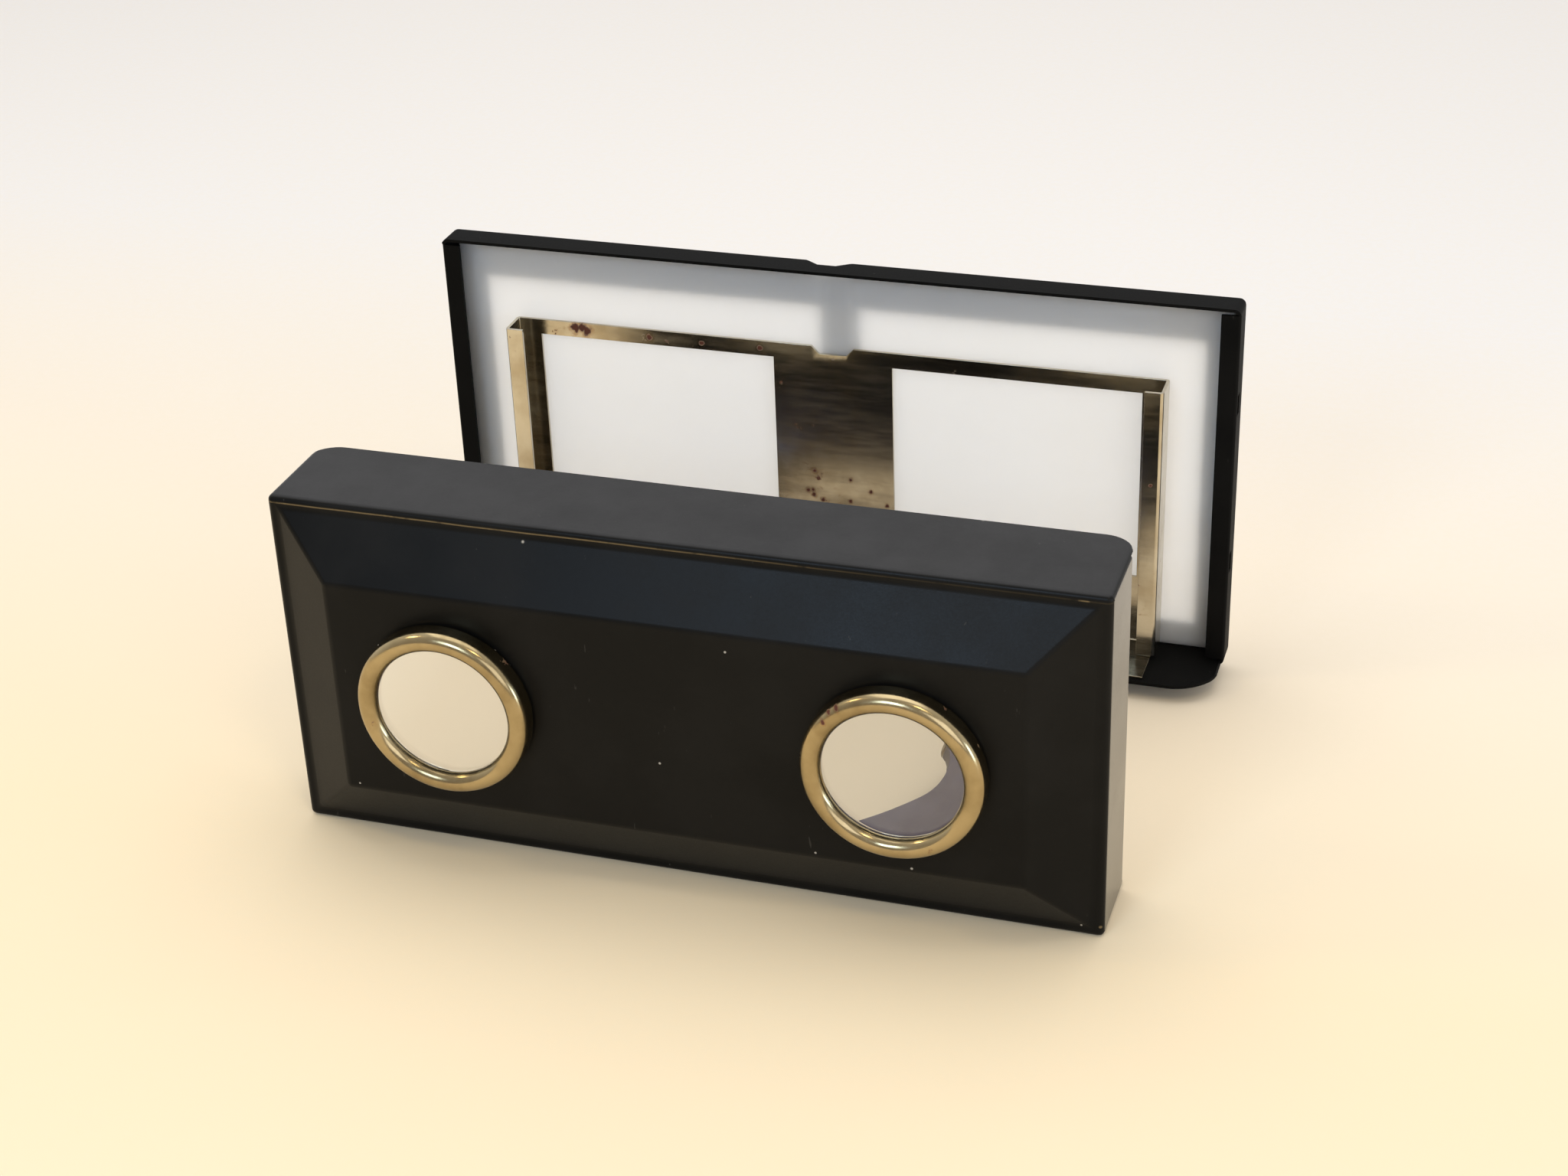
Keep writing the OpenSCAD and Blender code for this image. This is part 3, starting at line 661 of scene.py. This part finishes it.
# %% Back frame tray
hinge_z = 2.85 * mm
rear_plane, lip_plane, flap_end = depth(78.7), depth(73.2), depth(63.9)
tray_foot = 2.6 * mm
bm = bmesh.new()
blank(bm, tray_low.x, tray_high.x, tray_foot, tray_high.z, rear_plane)
opening = bm.faces[:][0]
bmesh.ops.inset_region(bm, faces=[opening], thickness=4.5 * mm, use_even_offset=True, use_boundary=True)
for v in opening.verts:
    v.co.x -= math.copysign(1.1 * mm, v.co.x)
    v.co.z -= 3.0 * mm if v.co.z > 30 * mm else 0
bmesh.ops.delete(bm, geom=[opening], context="FACES_ONLY")
sides = set(open_edges(bm, lambda c: near(abs(c.x), tray_high.x)))
ends = set(open_edges(bm, lambda c: near(c.z, tray_high.z) or near(c.z, tray_foot)))
outline = [e for e in bm.edges if e in sides or e in ends]
draw_out(bm, outline, (0, lip_plane - rear_plane, 0))
folds = bent(bm, 1.0)
round_edges(bm, folds, 1.05 * mm, 5)
print("tray folds:", len(folds))

# %% Lips and floor flap
lip_in, flap_r = 3.0 * mm, 7.9 * mm
for side in (-1, 1):
    wall = open_edges(bm, lambda c: near(c.y, lip_plane) and near(c.x, side * tray_high.x))
    draw_out(bm, wall, (-side * lip_in, 0, 0))
in_front = set(edges_where(bm, lambda c: near(c.y, lip_plane)))
round_edges(bm, [e for e in bent(bm, 1.4) if e in in_front], 0.45 * mm, 3)
foot = open_edges(bm, lambda c: near(c.y, lip_plane) and c.z < 3.0 * mm)
draw_out(bm, foot, (0, flap_end - lip_plane, 0))
for side in (-1, 1):
    centre = (side * 57.25 * mm, flap_end + flap_r)
    trim_round(bm, lambda c: c.y < lip_plane - 1 * mm, centre, flap_r, (side, -1), 10)
print("faces in the tray:", len(bm.faces))

# %% [markdown]
# ## Rolled hinge eyes
#
# A sheet-metal hinge has no loose tubes: tongues left on the edge of each sheet are rolled
# round the pin. The edge of each tongue is drawn out to the pin and then spun round it
# almost once. One helper does this for the frame's floor and for both plates of the link. It
# takes the spans of the eyes, the side from which the sheet comes and which way it curls.

# %% Rolled eye helper
leaf_half, pitch, eye_gap, eye_out = 42.0 * mm, 16.8 * mm, 0.3 * mm, 1.1 * mm
arm_start, arm_pitch = 25.8 * mm, 5.4 * mm


def every_other(start, step, first, count):
    """Where the eyes of one sheet lie along a hinge that two sheets share."""
    return [(start + i * step + eye_gap / 2, start + (i + 1) * step - eye_gap / 2)
            for i in range(first, count, 2)]


def wide_spans(first):
    return every_other(-leaf_half, pitch, first, 5)


def arm_spans(first):
    spans = every_other(arm_start, arm_pitch, first, 3)
    return spans + [(-b, -a) for a, b in spans]


def roll_eyes(bm, spans, edge_y, hinge_y, sheet_z, coming, over):
    """Tongues on a sheet's edge, rolled round a pin.

    coming is the side of the sheet, 1 for +Y. over is 1 to curl over the top.
    """
    def on_edge(c):
        return near(c.y, edge_y) and near(c.z, sheet_z)

    for x in sorted({x for span in spans for x in span}):
        beside = [f for f in bm.faces if any(on_edge(v.co) for v in f.verts) and abs(f.normal.z) > 0.9]
        cut(bm, beside, (x, 0, 0), (1, 0, 0))
    tongues = []
    for e in open_edges(bm, on_edge):
        middle = (e.verts[0].co + e.verts[1].co) / 2
        if any(a < middle.x < b for a, b in spans):
            tongues.append(e)
    rise = sheet_z - hinge_z
    start = math.degrees(math.asin(rise / eye_out))
    reach = hinge_y + coming * math.sqrt(eye_out ** 2 - rise ** 2)
    tips = draw_out(bm, tongues, (0, reach - edge_y, 0))
    sweep = over * coming * (360 - 2 * abs(start) - 8 if over * rise < 0 else 321)
    ends = list({v for e in tips for v in e.verts})
    bmesh.ops.spin(bm, geom=tips + ends, cent=(0, hinge_y, hinge_z), axis=(1, 0, 0), angle=math.radians(sweep),
                   steps=22, use_merge=False)
    return len(tongues)


# %% Eyes on the frame's floor
bmesh.ops.recalc_face_normals(bm, faces=bm.faces)
front_hinge, mid_hinge, rear_hinge = depth(1.6), depth(32.1), depth(62.6)
print("eyes on the floor:", roll_eyes(bm, wide_spans(0), flap_end, rear_hinge, tray_foot, 1, -1))

# %% Tab slots
tab_half, tab_in, tab_front, tab_rear = 1.7 * mm, 1.6 * mm, depth(73.75), depth(75.45)


def beside_tab(c):
    return near(c.x, side * tray_high.x) and lip_plane < c.y < rear_plane and abs(c.z - height) < tab_half


for side in (-1, 1):
    for height in (20.8 * mm, 48.1 * mm):
        for z in (height - tab_half, height + tab_half):
            wall = faces_where(bm, lambda c: near(c.x, side * tray_high.x) and lip_plane < c.y < rear_plane)
            cut(bm, wall, (0, 0, z), (0, 0, 1))
        for y in (tab_front, tab_rear):
            cut(bm, faces_where(bm, beside_tab), (0, y, 0), (0, 1, 0))
        slot_face = faces_where(bm, lambda c: beside_tab(c) and tab_front < c.y < tab_rear)
        bmesh.ops.delete(bm, geom=slot_face, context="FACES_ONLY")
        hinge_line = open_edges(bm, lambda c: near(c.y, tab_rear) and near(c.x, side * tray_high.x)
                                and abs(c.z - height) < tab_half + 0.05 * mm)
        draw_out(bm, hinge_line, (-side * tab_in, 0, 0))
print("faces in the frame with its tabs:", len(bm.faces))

# %% Top notch
notch_x, mouth, base, slope = -0.6 * mm, 3.8 * mm, 1.5 * mm, 1.6 / 2.3
deep, low = depth(76.35), tray_high.z - 1.35 * mm


def on_top(c):
    return c.z > tray_high.z - 8 * mm and c.y > lip_plane + 1 * mm and abs(c.x) < 60 * mm


def around(c):
    return on_top(c) and abs(c.x - notch_x) < mouth


for x in (-mouth, -base, base, mouth):
    cut(bm, faces_where(bm, on_top), (notch_x + x, 0, 0), (1, 0, 0))
cut(bm, faces_where(bm, lambda c: around(c) and near(c.y, rear_plane)), (0, 0, low), (0, 0, 1))
for side in (-1, 1):
    shoulder = faces_where(bm, lambda c: around(c) and (c.x - notch_x) * side > base and c.z > low)
    cut(bm, shoulder, (notch_x + side * base, deep, 0), (-side * slope, 1, 0))
middle = faces_where(bm, lambda c: around(c) and abs(c.x - notch_x) < base and c.z > low)
cut(bm, middle, (0, deep, 0), (0, 1, 0))


def in_notch(c):
    return around(c) and c.z > low and c.y > deep + max(0.0, abs(c.x - notch_x) - base) * slope


print("faces taken out at the notch:", len(faces_where(bm, in_notch)))
bmesh.ops.delete(bm, geom=faces_where(bm, in_notch), context="FACES")
face_outward(bm, Vector((0, 1, 0)))
finish_piece("frame_pressing", bm, "back", "back_frame", tray_black, 0.5, edge=0.06)

# %% [markdown]
# ## Ground glass and its spring
#
# The diffuser is a plain slab with ground edges, so a blank with real thickness and a small
# bevel is enough. A narrow flat spring is riveted to the back of the rim and hangs down over
# the opening. It is bowed a little towards the glass, so its blank is divided along its
# length and each row is moved.

# %% Ground glass and spring
bm = bmesh.new()
blank(bm, glass_low.x, glass_high.x, glass_low.z, glass_high.z, glass_low.y)
face_outward(bm, Vector((0, -1, 0)))
finish_piece("diffuser_pane", bm, "back", "ground_glass", matt_glass, 1.2, edge=0.2, segments=3)

spring_low, spring_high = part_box("glass_spring")
bm = bmesh.new()
blank(bm, spring_low.x, spring_high.x, spring_low.z, spring_high.z, spring_low.y)
long_edges = [e for e in bm.edges if abs(e.verts[0].co.z - e.verts[1].co.z) > 10 * mm]
bmesh.ops.subdivide_edges(bm, edges=long_edges, cuts=15)
for v in bm.verts:
    down = (tray_high.z - 9 * mm - v.co.z) / (11.6 * mm)
    v.co.y -= 0.45 * mm * max(0.0, min(1.0, down)) ** 1.6
round_corners(bm, [v for v in bm.verts if near(v.co.z, spring_low.z)], 0.9 * mm, 4)
face_outward(bm, Vector((0, -1, 0)))
finish_piece("flat_spring", bm, "back", "glass_spring", spring_steel, 0.4, edge=0.08)

# %% [markdown]
# ## The slide holder
#
# One sheet again, this time nickelled: a plate with two windows, channel walls with lips
# that guide the glass slide, and a long shelf that it stands on. The windows are scored and
# cut out of the plate before the edges are drawn forward, and the thumb notch in the top
# edge is pressed back a little so that a fingernail can catch the slide.

# %% Slide holder
plate_back, lip_front, shelf_front = depth(76.65), depth(71.15), depth(64.75)
window_foot, window_head, window_in, window_out = 15.25 * mm, 47.65 * mm, 9.9 * mm, 50.1 * mm
channel_foot, shelf_foot, shelf_half, channel_lip = 3.87 * mm, 3.13 * mm, 53.6 * mm, 3.0 * mm
bm = bmesh.new()
blank(bm, holder_low.x, holder_high.x, channel_foot, holder_high.z, plate_back)
for x in (-window_out, -window_in, window_in, window_out):
    cut(bm, bm.faces[:], (x, 0, 0), (1, 0, 0))
for z in (window_foot, window_head):
    cut(bm, bm.faces[:], (0, 0, z), (0, 0, 1))
windows = faces_where(bm, lambda c: window_in < abs(c.x) < window_out and window_foot < c.z < window_head)
bmesh.ops.delete(bm, geom=windows, context="FACES")
for x in (-shelf_half, shelf_half):
    cut(bm, faces_where(bm, lambda c: c.z < window_foot), (x, 0, 0), (1, 0, 0))
print("windows cut:", len(windows))

# %% Thumb notch
thumb_top, thumb_foot = 3.5 * mm, 2.3 * mm
for x in (-thumb_top, -thumb_foot, thumb_foot, thumb_top):
    cut(bm, faces_where(bm, lambda c: abs(c.x) < window_in and c.z > window_head), (x, 0, 0), (1, 0, 0))
pressed = [v for v in bm.verts if near(v.co.z, holder_high.z) and near(abs(v.co.x), thumb_foot)]
for v in pressed:
    v.co.z -= 1.35 * mm
    v.co.y += 0.12 * mm
print("corners pressed at the thumb notch:", len(pressed))

# %% Channels and shelf
for side in (-1, 1):
    edge = edges_where(bm, lambda c: near(c.x, side * holder_high.x))
    edge = draw_out(bm, edge, (0, lip_front - plate_back, 0))
    draw_out(bm, edge, (-side * channel_lip, 0, 0))
foot = edges_where(bm, lambda c: near(c.z, channel_foot) and near(c.y, plate_back)
                   and abs(c.x) < shelf_half + 0.1 * mm)
foot = draw_out(bm, foot, (0, 0, shelf_foot - channel_foot))
draw_out(bm, foot, (0, shelf_front - plate_back, 0))
round_edges(bm, bent(bm, 1.0), 0.62 * mm, 4)
face_outward(bm, Vector((0, 1, 0)))
finish_piece("holder_pressing", bm, "back", "slide_holder", holder_nickel, 0.5, edge=0.07)

# %% [markdown]
# ## The folding link
#
# Two U-shaped plates of dull steel join the shell to the frame. Their arms keep clear of the
# sight lines from the lenses, and one round corner of the window shows through the right
# lens. Each starts as a flat blank. Straight cuts mark out the window, which widens at 45
# degrees and then narrows a little to the arms' ends, and the inside of all cuts is taken
# out. The left-over scores are dissolved, the two widest corners are rounded, and eyes are
# rolled on both ends.

# %% Link plates
base_width, eye_room, window_foot_x, corner_r = 19.5 * mm, 1.55 * mm, 20.92 * mm, 3.2 * mm
arm_slant = (0.555, 0.832)  # points out of the window, across an arm's inner edge


def link_plate(name, node, body, hinge_y, mid_y, wide_first, arm_first):
    """A U-shaped plate from its wide hinge to its two arm hinges."""
    toward = 1 if mid_y > hinge_y else -1
    top = hinge_z + 0.5 * mm
    strip_y = hinge_y + toward * base_width
    near_y, far_y = hinge_y + toward * eye_room, mid_y - toward * eye_room
    bm = bmesh.new()
    half = leaf_half - eye_gap / 2
    flat_blank(bm, -half, half, min(near_y, far_y), max(near_y, far_y), top)
    cuts = [(Vector((0, strip_y, 0)), Vector((0, -toward, 0)))]
    for side in (-1, 1):
        cuts.append((Vector((side * window_foot_x, strip_y, 0)), Vector((side, -toward, 0))))
        slant = Vector((side * arm_slant[0], toward * arm_slant[1], 0))
        cuts.append((Vector((side * arm_start, far_y, 0)), slant))
    for point, normal in cuts:
        cut(bm, bm.faces[:], point, normal)
    window = faces_where(bm, lambda c: all((c - point).dot(normal) < 0 for point, normal in cuts))
    bmesh.ops.delete(bm, geom=window, context="FACES")
    bmesh.ops.dissolve_limit(bm, angle_limit=0.01, verts=bm.verts[:], edges=bm.edges[:])
    widest = [v for v in bm.verts if 27.5 * mm < abs(v.co.x) < 30 * mm]
    round_corners(bm, widest, corner_r, 10)
    wide = roll_eyes(bm, wide_spans(wide_first), near_y, hinge_y, top, toward, 1)
    arms = roll_eyes(bm, arm_spans(arm_first), far_y, mid_y, top, -toward, 1)
    face_outward(bm, Vector((0, 0, 1)))
    print(name, "has", wide, "wide eyes and", arms, "arm eyes")
    finish_piece(name, bm, body, node, link_steel, 0.45, edge=0.05)


link_plate("link_plate_front", "front_leaf", "front_link", front_hinge, mid_hinge, 0, 1)
link_plate("link_plate_rear", "rear_leaf", "rear_link", rear_hinge, mid_hinge, 1, 0)

# %% [markdown]
# ## Pins and rivets
#
# The pins are turned wires with their ends peened over into small buttons. The rivets have
# low domed heads. Each set of like rivets is one piece, spun one after another into the same
# mesh.

# %% Pins and rivets


def pins(name, node, body, spans, hinge_y):
    bm = bmesh.new()
    for a, b in spans:
        half = (b - a) / 2 / mm
        button = [(0.0, 0.7), (0.45, 0.68), (0.75, 0.56), (0.88, 0.42), (0.85, 0.32), (0.6, 0.28)]
        end = [(r, half + l) for r, l in button]
        turned(bm, end + [(r, -l) for r, l in reversed(end)], ((a + b) / 2, hinge_y, hinge_z), (1, 0, 0), 24)
    finish_piece(name, bm, body, node, pin_steel, edge=0)


pins("hinge_pin_front", "front_pin", "lens_front", [(-leaf_half, leaf_half)], front_hinge)
arm_spans_whole = [(-leaf_half, -arm_start), (arm_start, leaf_half)]
pins("hinge_pins_middle", "mid_pins", "rear_link", arm_spans_whole, mid_hinge)
pins("hinge_pin_rear", "rear_pin", "back", [(-leaf_half, leaf_half)], rear_hinge)


def rivets(name, node, body, places, axis, length):
    bm = bmesh.new()
    dome_head = [(0.8, 0.0), (1.4, 0.02), (1.36, 0.12), (1.15, 0.24), (0.7, 0.32), (0.0, 0.35)]
    profile = [(0.0, 0.0), (0.72, 0.0), (0.8, 0.06)] + [(r, length + l) for r, l in dome_head]
    for place in places:
        turned(bm, profile, place, axis, 28, out=(1, 0, 0))
    finish_piece(name, bm, body, node, pin_steel, edge=0)


in_shell = [(k * 10.416 * mm, depth(10.8), 0) for k in (-3, -1, 1, 3)]
in_shelf = [(k * mm, depth(67.75), tray_foot) for k in (-40, -14, 14, 40)]
on_spring = [(1 * mm, depth(78.2), tray_high.z - 4.35 * mm)]
rivets("shell_rivets", "front_rivets", "lens_front", in_shell, (0, 0, 1), 1.06)
rivets("shelf_rivets", "holder_rivets", "back", in_shelf, (0, 0, 1), 1.05)
rivets("spring_stud", "spring_rivet", "back", on_spring, (0, 1, 0), 0.96)

# %% [markdown]
# ## The hinge strip in the shell
#
# The strip riveted to the shell's floor keeps its exact solid, because its upturned ears fit
# closely between the rolled eyes of the link. It only gets the frame's matt enamel.

# %% Hinge strip finish
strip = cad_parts["front_bracket"]
strip.data.materials.clear()
strip.data.materials.append(tray_black)
print("finish of", strip.name + ":", tray_black.name)

# %% [markdown]
# ## Floor and light
#
# The viewer stands on a plain pale floor. Its colour goes from a neutral white behind the
# object to a warm cream in front of it. A large soft lamp hangs above and a little behind.
# Small ones stand where the real rims show them: a cool window on the right and another in
# front, and two warm bulbs. A soft one in front on the right reaches the ground glass. The
# room fills in the rest at a plain level, light behind the object and dimmer towards the
# viewer, which gives the round rims their dark side.

# %% Floor
bm = bmesh.new()
bmesh.ops.create_grid(bm, x_segments=4, y_segments=4, size=2.5)
bmesh.ops.translate(bm, vec=(0, 0, -0.06 * mm), verts=bm.verts)
mesh = bpy.data.meshes.new("floor")
bm.to_mesh(mesh)
bm.free()
floor = bpy.data.objects.new("floor", mesh)
bpy.context.scene.collection.objects.link(floor)
f = Finish("floor_cream")
x, y, z = f.axes()
far = f.ramp(y, -0.04, 0.19, 0.0, 1.0, smooth=False)
tint = f.mix(far, colour(246, 225, 190), colour(236, 232, 229))
paper = f.mix(f.ramp(f.noise(700, 3), 0.3, 0.7, 0.0, 0.12), tint, colour(238, 224, 196))
f.set(Base_Color=paper, Roughness=0.7)
f.shader.inputs["Specular IOR Level"].default_value = 0.2
mesh.materials.append(f.material)
print("floor with", f.material.name)

# %% Light


def lamp(name, size, power, place, toward, tint=(1, 1, 1)):
    data = bpy.data.lights.new(name, "AREA")
    data.shape, data.size, data.energy, data.color = "SQUARE", size, power, tint
    made = bpy.data.objects.new(name, data)
    made.location = place
    made.rotation_euler = (Vector(toward) - Vector(place)).to_track_quat("-Z", "Y").to_euler()
    bpy.context.scene.collection.objects.link(made)
    print(name, "of", power, "W")


object_middle, bulb = (0, 0, 0.03), (1.0, 0.84, 0.5)
lamp("ceiling_light", 0.7, 1.95, (-0.05, 0.17, 0.75), (0, 0.0, 0))
lamp("side_window", 0.20, 1.0, (0.75, -0.19, 0.11), object_middle, (0.60, 0.78, 1.0))
lamp("fill_window", 0.4, 0.9, (0.42, -0.55, 0.30), object_middle, (0.90, 0.93, 1.0))
lamp("front_window", 0.22, 1.35, (-0.12, -0.64, 0.42), object_middle, (0.58, 0.77, 1.0))
lamp("left_bulb", 0.09, 0.30, (-0.48, -0.16, 0.50), object_middle, bulb)
lamp("right_bulb", 0.09, 0.30, (0.22, -0.31, 0.60), object_middle, bulb)

# %% Room
world = bpy.data.worlds.new("room")
world.use_nodes = True
bpy.context.scene.world = world
tree = world.node_tree
toward = tree.nodes.new("ShaderNodeSeparateXYZ")
tree.links.new(tree.nodes.new("ShaderNodeTexCoord").outputs["Generated"], toward.inputs[0])
room = tree.nodes.new("ShaderNodeValToRGB")
near_side, far_side = room.color_ramp.elements
near_side.position, near_side.color = 0.12, (0.50, 0.46, 0.41, 1)
far_side.position, far_side.color = 0.55, (1.0, 1.0, 1.0, 1)
half_way = tree.nodes.new("ShaderNodeMath")
half_way.operation = "MULTIPLY_ADD"
half_way.inputs[1].default_value = half_way.inputs[2].default_value = 0.5
tree.links.new(toward.outputs["Y"], half_way.inputs[0])
tree.links.new(half_way.outputs[0], room.inputs[0])
tree.links.new(room.outputs[0], tree.nodes["Background"].inputs["Color"])
room_light = 0.85
tree.nodes["Background"].inputs["Strength"].default_value = room_light
print("room light:", room_light)
bpy.context.scene.view_settings.view_transform = "Standard"
